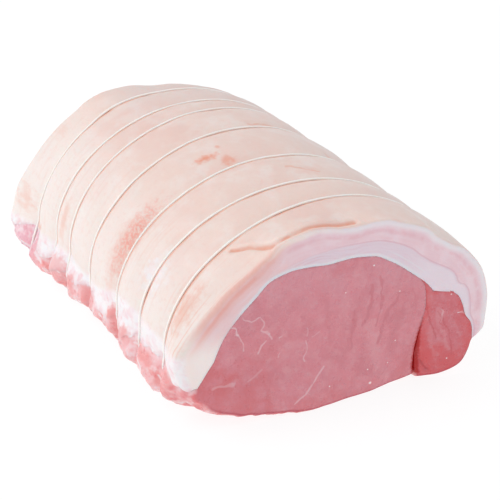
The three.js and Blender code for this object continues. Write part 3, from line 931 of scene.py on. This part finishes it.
WRINKLED = ((11.0, 153), (8.0, 22))  # the patch of wrinkled rind
RIND_PATCHES = [  # (station, degrees), (reach along, reach round in degrees), ragged, core, strength, colour
    ((10.5, 157), (11.0, 27), 0.4, 0.1, 0.9, CREAM_PINK),
    (*WRINKLED, 0.5, 0.0, 1.0, WRINKLED_PINK),
    ((2.8, 106.5), (3.4, 8.5), 0.6, 0.0, 0.85, BLOOD),
    ((10.0, 99.5), (5.0, 5.0), 0.6, 0.0, 0.6, BLOOD),
    ((-2.0, 97.5), (2.0, 2.2), 0.6, 0.1, 0.5, BLOOD),
    ((-77.0, 176.0), (5.0, 6.0), 0.8, 0.1, 0.35, PEACH_TONE_AND_STRING_SHADE),
    ((-78.0, 142.0), (4.0, 5.0), 0.8, 0.1, 0.2, PEACH_TONE_AND_STRING_SHADE),
    ((-68.0, 183.0), (3.4, 1.8), 0.8, 0.2, 0.5, BLOOD),
    # A painted highlight: a pale bluish glossy patch.
    ((40.0, 158.0), (9.0, 10.0), 0.7, 0.1, 0.7, BLUISH_HIGHLIGHT),
    ((-47.0, 170.0), (3.0, 13.0), 0.5, 0.1, 0.4, PEACH_TONE_AND_STRING_SHADE),
    ((66.0, 160.0), (10.0, 14.0), 0.6, 0.1, 0.5, PEACH_TONE_AND_STRING_SHADE),
]
FLANK_LUMPS = [  # (station, degrees), (reach along, reach round in degrees), strength
    ((-46, 189), (7, 5), 0.6), ((-32, 189.5), (6, 4.5), 0.8), ((-19, 190), (6, 5), 0.7),
    ((12.6, 185), (6, 5.5), 0.95), ((28, 186), (6.5, 4), 0.8), ((45.5, 186.5), (8, 2.6), 0.8),
    ((66, 190), (9, 4), 0.5),
]


def rind_skin(finish, spot, skin_spot):
    """The rind's colour, with its patches and its folds, painted shade beside the twine, painted light on its
    left side and painted shade on its right.
    """
    band, fact, times, uneven = finish.band, finish.fact, finish.times, finish.uneven
    degrees, station = fact("degrees"), fact("station")
    streak_spot = finish.joined(times(station, 0.55), times(degrees, 0.03))
    streaks = times(uneven(streak_spot, 1.0, 0.5, 0.72), band(degrees, 120, 145))
    skin = finish.laid_over(
        CREAM,
        (CREAM_PINK, uneven(spot, 0.035, 0.42, 0.68), 0.75),
        (CREAM_PALE, uneven(spot, 0.08, 0.45, 0.72), 0.5),
        # Painted light: paler towards the left side, which faces the key light.
        (CREAM_PALE, band(degrees, 122, 170), 0.82),
        (CREAM_PALE, band(station, -20, -60), band(degrees, 110, 150), 0.5),
        # Painted shade: greyer towards the right side, away from the key light.
        (CREAM_GREY, band(degrees, 78, 25), 0.65),
        (CREAM_GREY, band(station, -35, -80), band(degrees, 125, 95), 0.7),
        (CREAM_PINK, uneven(spot, 0.5, 0.5, 0.72), 0.25),
        (PEACH_TONE_AND_STRING_SHADE, streaks, band(station, 50, 66), 0.4),
        (PEACH_TONE_AND_STRING_SHADE, streaks, 0.12),
    )
    for middle, reach, ragged, core, strength, colour in RIND_PATCHES:
        share = finish.skin_patch(skin_spot, middle, reach, ragged=ragged, grain=0.3, core=core)
        if colour == WRINKLED_PINK:
            share = times(share, uneven(spot, 0.9, 0.36, 0.56))
        skin = finish.laid_over(skin, (colour, share, strength))
    fold = band(fact("to_fold"), 0.2, 1.7, 0.8, 0.0)
    skin = finish.laid_over(
        skin,
        # Painted shade: peach on the near side of each string.
        (PEACH_TONE_AND_STRING_SHADE, fact("string_shade"), uneven(spot, 0.12, 0.1, 0.5), 0.9),
        (RAW_ORANGE, fold, uneven(spot, 0.15, 0.25, 0.6)),
    )
    for corners, _, _ in FOLDS[1:]:
        share = finish.line(skin_spot, round_places(corners), 0.9, (3, 3, 0))
        skin = finish.laid_over(skin, (RAW_ORANGE, share, 0.4))
    at_edge = finish.ridge(station, HALF_LENGTH - 0.6, 2.4)
    return finish.laid_over(
        skin, (SALMON_BAND, at_edge, band(degrees, 112, 134), band(degrees, 172, 160), 0.6)
    )


def flank_lumps(finish, skin_spot, colour):
    """A colour with the flank's salmon lumps on it, which lie across the edge of the fat."""
    for middle, reach, strength in FLANK_LUMPS:
        share = finish.skin_patch(skin_spot, middle, reach, ragged=0.6, grain=0.25, core=0.25)
        colour = finish.laid_over(colour, (FLANK_SALMON, share, strength))
    return colour


def edge_fat(finish, spot, skin_spot):
    """The bare fat below the rind's edge on the left, pink where it runs out over the meat."""
    lip = finish.times(finish.band(finish.fact("to_lip"), 3.0, 0.2), finish.uneven(spot, 0.5, 0.3, 0.6))
    fat = finish.laid_over(
        EDGE_FAT,
        (EDGE_FAT_PINK, finish.uneven(spot, 0.2, 0.45, 0.7)),
        (EDGE_FAT_MARK, finish.uneven(spot, 0.22, 0.56, 0.72), 0.5),
        (EDGE_FAT_MARK, lip, 0.55),
    )
    return flank_lumps(finish, skin_spot, fat)


def cut_fat(finish, spot):
    """The cut through the fat: the rind's edge, outer fat, a line, inner fat and the muscle's silver skin."""
    band, fact, ridge, times, uneven = finish.band, finish.fact, finish.ridge, finish.times, finish.uneven
    degrees, to_muscle, past_line = fact("degrees"), fact("to_muscle"), fact("past_line")
    wave = finish.math("SUBTRACT", finish.noise(spot, 0.12, 2.0), 0.5)
    deep = finish.math("ADD", fact("deep"), times(wave, 2.0))
    layers = finish.joined(times(degrees, 0.05), times(deep, 0.8))
    streaks = uneven(layers, 1.0, 0.42, 0.66, 2.0)
    leftwards, left, lobe_share = [band(degrees, *span) for span in ((84, 118), (106, 134), (160, 178))]
    over_eye = times(band(degrees, 27, 31), band(degrees, 162, 150))
    return finish.laid_over(
        FAT_PINK,
        (FAT_CLOUD, uneven(spot, 0.14, 0.42, 0.66), 0.7),
        (FAT_CLOUD, streaks, 0.3),
        (FAT_MARK, ridge(deep, 4.0, 1.6), uneven(spot, 0.22, 0.36, 0.6), 0.36),
        (FAT_INNER, band(past_line, -0.5, 0.9)),
        (FAT_LINE, band(past_line, 0.2, 1.2), streaks, band(degrees, 60, 110, 0.12, 0.5)),
        (FAT_RIGHT, band(past_line, 0.5, 1.5), band(degrees, 48, 28), 0.7),
        (FAT_LINE, ridge(past_line, 0.0, 0.6), band(degrees, 70, 100, 0.7, 0.25)),
        (LEFT_FAT, left, 0.8),
        (FAT_CLOUD, left, streaks, 0.35),
        (SILVER_SKIN, band(to_muscle, 2.0, 0.8), over_eye),
        (SILVER_SKIN, ridge(to_muscle, 3.6, 0.6), band(degrees, 64, 50), over_eye, 0.6),
        (FAT_EDGE, band(deep, 3.0, 0.6), band(leftwards, 0.0, 1.0, 0.85, 0.0)),
        (CREAM_PALE, band(deep, 2.6, 0.8), leftwards, band(degrees, 132, 116)),
        (SALMON_BAND, ridge(deep, 2.0, 3.6), left, 0.4),
        (SALMON_BAND, ridge(deep, 1.2, 1.8), left, uneven(spot, 0.1, 0.25, 0.5), 0.65),
        (LOBE_WHITE, lobe_share, 0.9),
    )


def rind_finish(shared):
    material, finish, shader = new_finish("rind_and_fat", shared)
    spot = finish.spot()
    skin_spot = finish.unrolled()
    below = finish.math("ADD", finish.fact("below_rind"), finish.uneven(spot, 0.4, 0.2, 0.8))
    skin = rind_skin(finish, spot, skin_spot)
    outside = finish.mix(finish.band(below, -1.2, 2.2), skin, edge_fat(finish, spot, skin_spot))
    colour = finish.mix(finish.fact("cut"), outside, cut_fat(finish, spot))
    rough = finish.band(finish.uneven(spot, 0.2, 0.3, 0.7, 2.0), 0.0, 1.0, 0.42, 0.56)
    dress(finish, shader, colour, rough, 0.4, (1.0, 0.6, 0.5), 1.6)
    wrinkled = finish.times(finish.skin_patch(skin_spot, *WRINKLED, core=0.1), 7.0)
    pores = finish.noise(spot, 1.1, 3.0, 0.6)
    wrinkles = finish.times(finish.noise(spot, 0.6, 2.0, 0.5, 1.5), finish.math("ADD", 1.4, wrinkled))
    bump(finish, shader, finish.math("ADD", pores, wrinkles), 0.12, 0.6)
    return material


# ---- The meat

# On the next line, the lilac is a painted sheen and the dark red a painted contact shadow.
MEAT_PALE, LILAC_SHEEN, FOOT_SHADOW_DARK = tint(226, 168, 174), tint(214, 152, 164), tint(184, 60, 78)
# The white at the end of the next line is for painted glints of wet gloss.
SEAM_RED, SINEW, GLINT_WHITE = tint(180, 5, 9), tint(240, 214, 220), tint(250, 240, 240)
FLANK_PINK, FLANK_PALE, FLANK_MAUVE = tint(244, 188, 190), tint(250, 230, 233), tint(232, 182, 200)
# The crease red on the next line is partly the meat's dark red and partly painted shade in the creases.
FLANK_RED, CREASE_RED_AND_SHADE = tint(228, 110, 115), tint(186, 48, 58)

# Marks on the near cut: corners or a middle as (across, height), a half width or a reach, and a strength,
# which is less than 0 for a shade paler than the meat. The small white dots are painted glints of wet gloss.
EYE_LOOK = {
    "base": tint(218, 136, 147),
    "deep": tint(206, 121, 132),
    "red": tint(212, 108, 114),
    "red_areas": [
        ((-56, 25), (14, 20), 0.8), ((-46, 10), (26, 18), 0.6), ((-36, 28), (18, 18), 0.3),
        ((-14, 1), (44, 10), 0.5), ((33, 8), (9, 18), 0.4),
    ],
    "shades": [
        ([(27, 33), (26, 20)], 5.5, 0.5),
        ([(15.5, 33), (17, 16)], 4.5, -0.28),
        ([(7.5, 42.4), (7.3, 36.2), (6.3, 23.8)], 1.0, 0.85),
        ([(14.7, 52.3), (14.2, 43), (13, 37), (10.6, 34)], 1.0, 0.85),
        ([(18.6, 55.5), (19.4, 42), (17.5, 32.5)], 1.0, 0.8),
        ([(26.6, 45.3), (25.4, 41.6), (22.9, 38.9), (21.5, 34), (19.7, 29), (18.6, 23.4)], 1.1, 0.9),
        ([(33.7, 47.3), (34.6, 36.3)], 0.9, 0.6),
        ([(-6, 50), (-2, 30)], 1.6, 0.4),
    ],
    "sinews": [
        ([(-45.1, 46.2), (-42.5, 42.8)], 0.55, 0.49),
        ([(-42.5, 42.8), (-40.7, 39), (-39.9, 35.1)], 0.45, 0.39),
        (
            [(-39.9, 50.9), (-36.7, 47.7), (-33.5, 48.7), (-31.9, 46.4), (-31.8, 43.4), (-29.2, 40.3)],
            0.42, 0.37,
        ),
        ([(-29.2, 40.3), (-28.8, 36.8)], 0.38, 0.35),
        ([(-31, 36.8), (-32.9, 34.8), (-34.5, 31.6)], 0.5, 0.42),
        ([(-23.8, 38), (-25.6, 36.9)], 0.36, 0.3),
        ([(-24.5, 30.4), (-25.8, 27.9)], 0.36, 0.3),
        ([(-13.7, 32.8), (-13.8, 24)], 0.4, 0.37),
        ([(-13.1, 38.9), (-13.3, 34.9)], 0.34, 0.24),
        ([(-10.6, 34.5), (-8.1, 35.4)], 0.34, 0.24),
        ([(-5.9, 19.4), (-9.5, 15.8), (-15, 8.9), (-19.4, 5.6)], 0.48, 0.42),
        ([(-52.7, 20.3), (-43.9, 20.6)], 0.9, 0.27),
        ([(-32.9, 23.9), (-39.1, 19.3)], 0.5, 0.19),
    ],
    "creases": [],
    # Painted highlights: small white glints of wet gloss, each a middle and a reach.
    "painted_glints": [
        ((15, 61.7), 0.5), ((27.2, 46.7), 0.4), ((13.9, 11.8), 0.4), ((15.2, 4.7), 0.8), ((-4.1, 9.1), 0.4),
        ((3.2, 51.6), 0.35), ((27, 22.1), 0.4), ((24, 11.6), 0.35),
    ],
    "rim": 0.0,
    "lean": -0.28,
}
SIDE_LOOK = {
    "base": tint(211, 115, 125),
    "deep": tint(207, 100, 109),
    "red": tint(214, 84, 88),
    "red_areas": [
        ((48, 6), (22, 15), 0.7), ((61, 20), (7, 22), 0.45), ((40.5, 30), (4, 22), 0.3),
        ((41, 13), (5, 12), 0.7),
    ],
    "shades": [
        ([(45.4, 33), (47.9, 22.2), (51, 12)], 1.5, -0.25),
        ([(42.5, 20), (46.5, 11)], 1.2, -0.2),
        ([(52, 34), (56, 22)], 1.4, 0.3),
    ],
    "sinews": [([(55.5, 29.4), (58.8, 27.6)], 0.6, 0.85), ([(47, 33), (48.2, 27)], 0.35, 0.35)],
    "creases": [
        ([(38.4, 49.6), (39.7, 38), (42.6, 26.8), (45.3, 18.6)], 0.6, 0.4),
        ([(45.7, 31.9), (49.6, 26), (52.5, 15.6), (52.8, 9.6)], 0.5, 0.3),
        (SIDE_CREASE, 0.8, 0.45),
    ],
    # Painted highlights: small white glints of wet gloss, each a middle and a reach.
    "painted_glints": [((51.3, 39.4), 0.55), ((50.6, 8), 0.4)],
    "rim": 0.7,
    "lean": 0.45,
}
MARK_SWAY = {"shades": 5, "sinews": 4, "creases": 2}
FLANK_STREAKS = [  # places (station, degrees) along white streaks in the flank
    [(-77, 191), (-70, 193)], [(-63, 190), (-59, 192.5)], [(-47, 188), (-43, 191)],
    [(-46, 197), (-43.5, 202)], [(-23, 195), (-19, 200)], [(-3, 190), (1, 192.5)],
    [(10, 196), (16, 199)], [(37, 187), (42, 188.5), (47, 192)], [(56, 190), (62, 196)],
]


def cut_meat(finish, spot, look):
    """The meat on a cut, with the near cut's marks, which are fainter on the far one. Some marks are painted
    light and shade: a lilac sheen up high, white glints, shade in the creases' red and a shadow along the
    foot.
    """
    band, uneven = finish.band, finish.uneven
    across, height = [finish.add("ShaderNodeSeparateXYZ", spot).outputs[k] for k in (1, 2)]
    cut_spot = finish.vector("MULTIPLY", spot, (0, 1, 1))
    leaning = finish.math("ADD", across, finish.times(height, look["lean"]))
    fibre_spot = finish.joined(leaning, finish.times(height, 0.07))
    colour = finish.laid_over(
        look["base"],
        (look["deep"], uneven(spot, 0.09, 0.42, 0.64), 0.6),
        (MEAT_PALE, uneven(spot, 0.16, 0.48, 0.72), 0.3),
        # Painted sheen: paler lilac towards the top of a cut, where its wet gloss shows.
        (LILAC_SHEEN, band(height, 36, 62), uneven(spot, 0.1, 0.35, 0.65), 0.5),
        (look["deep"], uneven(fibre_spot, 0.28, 0.42, 0.7), band(across, -12, 12), 0.35),
        (look["deep"], uneven(spot, 0.5, 0.42, 0.7), 0.16),
        (MEAT_PALE, uneven(spot, 0.35, 0.5, 0.72), 0.2),
        (MEAT_PALE, uneven(spot, 1.3, 0.48, 0.72), 0.2),
    )
    for middle, reach, strength in look["red_areas"]:
        share = finish.patch(cut_spot, (0, *middle), (THROUGH, *reach), ragged=0.7, grain=0.14, core=0.0)
        colour = finish.laid_over(colour, (look["red"], share, strength))
    near = band(finish.fact("station"), -10, 10, 0.3, 1.0)
    # Crease lines are partly the meat's dark red and partly painted shade where the crease dips.
    tones = {"shades": look["deep"], "sinews": SINEW, "creases": CREASE_RED_AND_SHADE}
    for kind, sway in MARK_SWAY.items():
        for corners, half_width, strength in look[kind]:
            share = finish.line(cut_spot, [(0, *corner) for corner in corners], half_width, (0, sway, sway))
            tone = tones[kind] if strength > 0 else MEAT_PALE
            colour = finish.laid_over(colour, (tone, share, near, abs(strength)))
    # Painted highlights: small white glints of wet gloss.
    for middle, reach in look["painted_glints"]:
        share = finish.patch(cut_spot, (0, *middle), (THROUGH, reach, reach), ragged=0.15, grain=1.0)
        colour = finish.laid_over(colour, (GLINT_WHITE, share, near, 0.85))
    to_edge = finish.fact("to_edge")
    return finish.laid_over(
        colour,
        (look["red"], band(to_edge, 3.4, 0.3), uneven(spot, 0.25, 0.3, 0.6), look["rim"]),
        # Painted shadow: darker along a cut's lower edge, where the meat sits on the floor.
        (FOOT_SHADOW_DARK, band(to_edge, 1.3, 0.1), band(height, 14, 6), 0.75),
    )


def bare_meat(finish, spot):
    """The outside of the meat, whitened where the fat's lip ends."""
    band, fact, uneven = finish.band, finish.fact, finish.uneven
    station, degrees = fact("station"), fact("degrees")
    at_lip = finish.times(band(fact("to_lip"), 4.5, 0.3), uneven(spot, 0.3, 0.34, 0.6))
    at_lobe = finish.times(band(station, 56, 66), band(degrees, 187, 190))
    colour = finish.laid_over(
        FLANK_PINK,
        (FLANK_SALMON, uneven(spot, 0.12, 0.4, 0.66)),
        (FLANK_RED, uneven(spot, 0.35, 0.5, 0.72), 0.5),
        (FLANK_MAUVE, band(station, -58, -68), 0.6),
        (FLANK_PALE, uneven(spot, 0.17, 0.5, 0.66), 0.65),
        (FLANK_RED, at_lobe, uneven(spot, 0.2, 0.3, 0.6), 0.8),
        (EDGE_FAT_PINK, at_lip, 0.6),
        (EDGE_FAT, band(station, -76, -81), uneven(spot, 0.3, 0.2, 0.5), 0.8),
    )
    skin_spot = finish.unrolled()
    colour = flank_lumps(finish, skin_spot, colour)
    for corners in FLANK_STREAKS:
        share = finish.line(skin_spot, round_places(corners), 0.8, (6, 6, 0))
        colour = finish.laid_over(colour, (EDGE_FAT, share, 0.6))
    return colour


def meat_finish(name, shared, look):
    material, finish, shader = new_finish(name, shared)
    spot = finish.spot()
    colour = finish.mix(finish.fact("cut"), bare_meat(finish, spot), cut_meat(finish, spot, look))
    colour = finish.mix(finish.fact("seam"), colour, SEAM_RED)
    rough = finish.band(finish.uneven(spot, 0.3, 0.3, 0.7), 0.0, 1.0, 0.26, 0.44)
    dress(finish, shader, colour, rough, 0.3, (1.0, 0.35, 0.3), 1.5)
    bump(finish, shader, finish.noise(spot, 0.7, 4.0, 0.6), 0.3, 0.6)
    return material


# ---- The twine

# The twine's colours: a darker cream for painted shade between its strands, a white and a fuzz.
TWINE_PAINTED_SHADE, TWINE_WHITE, TWINE_FUZZ = tint(246, 228, 217), tint(255, 252, 247), tint(246, 234, 225)


def twine_finish(shared):
    material, finish, shader = new_finish("twine", shared)
    spot = finish.spot()
    # Painted shade: darker between the strands, in the grooves of the twist.
    colour = finish.mix(finish.band(finish.fact("strand"), 0.05, 0.6), TWINE_PAINTED_SHADE, TWINE_WHITE)
    colour = finish.laid_over(colour, (TWINE_FUZZ, finish.uneven(spot, 1.2, 0.4, 0.7), 0.25))
    rough = finish.band(finish.noise(spot, 2.0), 0.3, 0.7, 0.7, 0.85)
    dress(finish, shader, colour, rough, 0.5, (1.0, 0.8, 0.7), 0.8)
    return material


# ---- The camera, the floor and the lights

IMAGE_SIZE = 500
PIXELS_PER_SLOPE = 1297.3
SENSOR = 36.0
CAMERA_AZIMUTH, CAMERA_ELEVATION, CAMERA_DISTANCE = 58.872, 31.01, 584.6
AIM_HEIGHT, AIM_RIGHT, AIM_UP = 34.2, 7.14, -3.52

# The clip, the floor and the lights in metres
CLIP_NEAR, CLIP_FAR = 0.01, 20
FLOOR = {"size": 6, "height": -0.0002, "base": (0.2, 0.2, 0.2, 1), "glow": 0.84, "rough": 0.9, "sheen": 0.1}
SKY_COLOUR, SKY_STRENGTH = (0.96, 0.98, 1.0, 1), 0.66
LIT_PLACE = (0, 0, 0.04)
LIGHTS = [  # name, place, size, power, colour
    ("key", (-0.35, -0.85, 1.0), 0.9, 6.5, (1, 1, 1)),
    ("fill", (0.2, 1.3, 0.9), 1.0, 2.2, (0.86, 0.93, 1.0)),
    ("front", (1.1, -0.1, 0.55), 0.8, 0.4, (1, 1, 1)),
]


def camera_axes(azimuth, elevation):
    a, e = math.radians(azimuth), math.radians(elevation)
    back = Vector((math.sin(a) * math.cos(e), -math.cos(a) * math.cos(e), math.sin(e)))
    right = Vector((math.cos(a), math.sin(a), 0))
    return right, back.cross(right), back


def make_camera():
    right, up, back = camera_axes(CAMERA_AZIMUTH, CAMERA_ELEVATION)
    aim = Vector(AXIS_PLACE) + Vector((0, 0, AIM_HEIGHT)) + right * AIM_RIGHT + up * AIM_UP
    data = bpy.data.cameras.new("camera")
    data.sensor_width = SENSOR
    data.lens = PIXELS_PER_SLOPE / IMAGE_SIZE * SENSOR
    data.clip_start, data.clip_end = CLIP_NEAR, CLIP_FAR
    camera = bpy.data.objects.new("camera", data)
    turned = Matrix((right, up, back)).transposed().to_4x4()
    camera.matrix_world = Matrix.Translation((aim + back * CAMERA_DISTANCE) * MM) @ turned
    bpy.context.scene.collection.objects.link(camera)
    bpy.context.scene.camera = camera


def make_floor():
    bpy.ops.mesh.primitive_plane_add(size=FLOOR["size"], location=(0, 0, FLOOR["height"]))
    floor = bpy.context.object
    floor.name = "floor"
    material, _, shader = new_finish("floor_white")
    shader.inputs["Base Color"].default_value = FLOOR["base"]
    shader.inputs["Roughness"].default_value = FLOOR["rough"]
    shader.inputs["Specular IOR Level"].default_value = FLOOR["sheen"]
    shader.inputs["Emission Color"].default_value = (1, 1, 1, 1)
    shader.inputs["Emission Strength"].default_value = FLOOR["glow"]
    floor.data.materials.append(material)


def make_lights():
    world = bpy.data.worlds.new("studio")
    world.use_nodes = True
    sky = world.node_tree.nodes["Background"]
    sky.inputs["Color"].default_value = SKY_COLOUR
    sky.inputs["Strength"].default_value = SKY_STRENGTH
    bpy.context.scene.world = world
    for name, place, size, power, colour in LIGHTS:
        data = bpy.data.lights.new(name, "AREA")
        data.shape, data.size, data.energy, data.color = "DISK", size, power, colour
        light = bpy.data.objects.new(name, data)
        light.location = place
        light.rotation_euler = (Vector(LIT_PLACE) - Vector(place)).to_track_quat("-Z", "Y").to_euler()
        bpy.context.scene.collection.objects.link(light)


bpy.context.scene.view_settings.view_transform = "Standard"
make_camera()
make_floor()
make_lights()

cap = make_cap()
eye = make_eye()
side = make_side()
strings = [make_string(n) for n in range(len(STRING_STATIONS))]
shared = {"mottle": make_mottle(), "thin_line": make_thin_line(), "soft_patch": make_soft_patch()}
finishes = {
    "rind_and_fat": rind_finish(shared),
    "loin_meat": meat_finish("loin_meat", shared, EYE_LOOK),
    "side_meat": meat_finish("side_meat", shared, SIDE_LOOK),
    "twine": twine_finish(shared),
}
stands_for = [
    (cap, "fat_cap", "rind_and_fat"), (eye, "loin_eye", "loin_meat"), (side, "side_muscle", "side_meat"),
]
stands_for += [(piece, f"string_{n + 1}", "twine") for n, piece in enumerate(strings)]
for piece, cad_node, slot in stands_for:
    piece.data.materials.append(finishes[slot])
    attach(piece, "root")
    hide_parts(cad_node)
